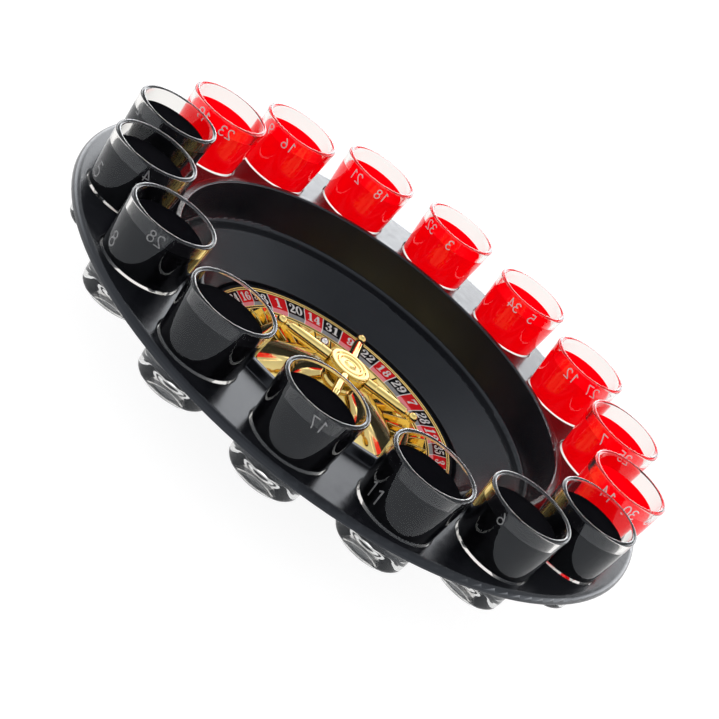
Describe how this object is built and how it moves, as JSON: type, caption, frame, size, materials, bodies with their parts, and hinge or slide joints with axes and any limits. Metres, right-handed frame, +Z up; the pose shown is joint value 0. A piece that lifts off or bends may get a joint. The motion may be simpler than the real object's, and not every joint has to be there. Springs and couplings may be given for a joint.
{
  "type": "drinking roulette wheel",
  "caption": "Round black tray with a bowl, a spinning rotor with a printed number ring and gold turret, and a ring of shot glasses set into its rim.",
  "frame": {"origin": "centre of the tray on the surface that it stands on", "axes": "+Z up along the rotor's axis; -Y towards the front"},
  "size_m": [0.29, 0.29, 0.0702],
  "materials": {
    "black_plastic": "satin gloss moulded",
    "clear_glass": "clear polished",
    "gold_plating": "vacuum-plated gold, mirror bright",
    "printed_ring": "printed red, black and green number cells with gold borders, glossy",
    "steel": "plain turned",
    "ball_steel": "polished",
    "bush_brass": "plain turned",
    "nylon": "natural",
    "pad_rubber": "matte"
  },
  "bodies": {
    "tray": {"tray": "black_plastic", "foot_pads": "pad_rubber", "spindle_pin": "steel", "thrust_washer": "nylon", "retaining_washer": "steel", "retaining_screw": "steel"},
    "rotor": {"rotor_disc": "black_plastic", "rotor_bush": "bush_brass", "number_ring": "printed_ring", "pocket_ring": "gold_plating", "centre_cone": "gold_plating", "turret_hub": "gold_plating", "turret_arm_right": "gold_plating", "turret_arm_back": "gold_plating", "turret_arm_left": "gold_plating", "turret_arm_front": "gold_plating", "turret_cap": "gold_plating"},
    "ball": {"steel_ball": "ball_steel"},
    "glass_black_1": {"glass_black_1": "clear_glass"},
    "glass_black_2": {"glass_black_2": "clear_glass"},
    "glass_black_3": {"glass_black_3": "clear_glass"},
    "glass_black_4": {"glass_black_4": "clear_glass"},
    "glass_red_1": {"glass_red_1": "clear_glass"},
    "glass_red_2": {"glass_red_2": "clear_glass"},
    "glass_red_3": {"glass_red_3": "clear_glass"},
    "glass_red_4": {"glass_red_4": "clear_glass"},
    "glass_red_5": {"glass_red_5": "clear_glass"},
    "glass_red_6": {"glass_red_6": "clear_glass"},
    "glass_red_7": {"glass_red_7": "clear_glass"},
    "glass_red_8": {"glass_red_8": "clear_glass"},
    "glass_black_5": {"glass_black_5": "clear_glass"},
    "glass_black_6": {"glass_black_6": "clear_glass"},
    "glass_black_7": {"glass_black_7": "clear_glass"},
    "glass_black_8": {"glass_black_8": "clear_glass"}
  },
  "joints": [
    {"name": "rotor_spin", "type": "hinge", "parent": "tray", "child": "rotor", "pos_m": [0, 0, 0.01], "axis": [0, 0, 1], "continuous": true},
    {"name": "ball_lift", "type": "slide", "parent": "rotor", "child": "ball", "axis": [0, 0, 1], "range_m": [0, 0.065]},
    {"name": "glass_black_1_lift", "type": "slide", "parent": "tray", "child": "glass_black_1", "axis": [0, 0, 1], "range_m": [0, 0.045]},
    {"name": "glass_black_2_lift", "type": "slide", "parent": "tray", "child": "glass_black_2", "axis": [0, 0, 1], "range_m": [0, 0.045]},
    {"name": "glass_black_3_lift", "type": "slide", "parent": "tray", "child": "glass_black_3", "axis": [0, 0, 1], "range_m": [0, 0.045]},
    {"name": "glass_black_4_lift", "type": "slide", "parent": "tray", "child": "glass_black_4", "axis": [0, 0, 1], "range_m": [0, 0.045]},
    {"name": "glass_red_1_lift", "type": "slide", "parent": "tray", "child": "glass_red_1", "axis": [0, 0, 1], "range_m": [0, 0.045]},
    {"name": "glass_red_2_lift", "type": "slide", "parent": "tray", "child": "glass_red_2", "axis": [0, 0, 1], "range_m": [0, 0.045]},
    {"name": "glass_red_3_lift", "type": "slide", "parent": "tray", "child": "glass_red_3", "axis": [0, 0, 1], "range_m": [0, 0.045]},
    {"name": "glass_red_4_lift", "type": "slide", "parent": "tray", "child": "glass_red_4", "axis": [0, 0, 1], "range_m": [0, 0.045]},
    {"name": "glass_red_5_lift", "type": "slide", "parent": "tray", "child": "glass_red_5", "axis": [0, 0, 1], "range_m": [0, 0.045]},
    {"name": "glass_red_6_lift", "type": "slide", "parent": "tray", "child": "glass_red_6", "axis": [0, 0, 1], "range_m": [0, 0.045]},
    {"name": "glass_red_7_lift", "type": "slide", "parent": "tray", "child": "glass_red_7", "axis": [0, 0, 1], "range_m": [0, 0.045]},
    {"name": "glass_red_8_lift", "type": "slide", "parent": "tray", "child": "glass_red_8", "axis": [0, 0, 1], "range_m": [0, 0.045]},
    {"name": "glass_black_5_lift", "type": "slide", "parent": "tray", "child": "glass_black_5", "axis": [0, 0, 1], "range_m": [0, 0.045]},
    {"name": "glass_black_6_lift", "type": "slide", "parent": "tray", "child": "glass_black_6", "axis": [0, 0, 1], "range_m": [0, 0.045]},
    {"name": "glass_black_7_lift", "type": "slide", "parent": "tray", "child": "glass_black_7", "axis": [0, 0, 1], "range_m": [0, 0.045]},
    {"name": "glass_black_8_lift", "type": "slide", "parent": "tray", "child": "glass_black_8", "axis": [0, 0, 1], "range_m": [0, 0.045]}
  ]
}
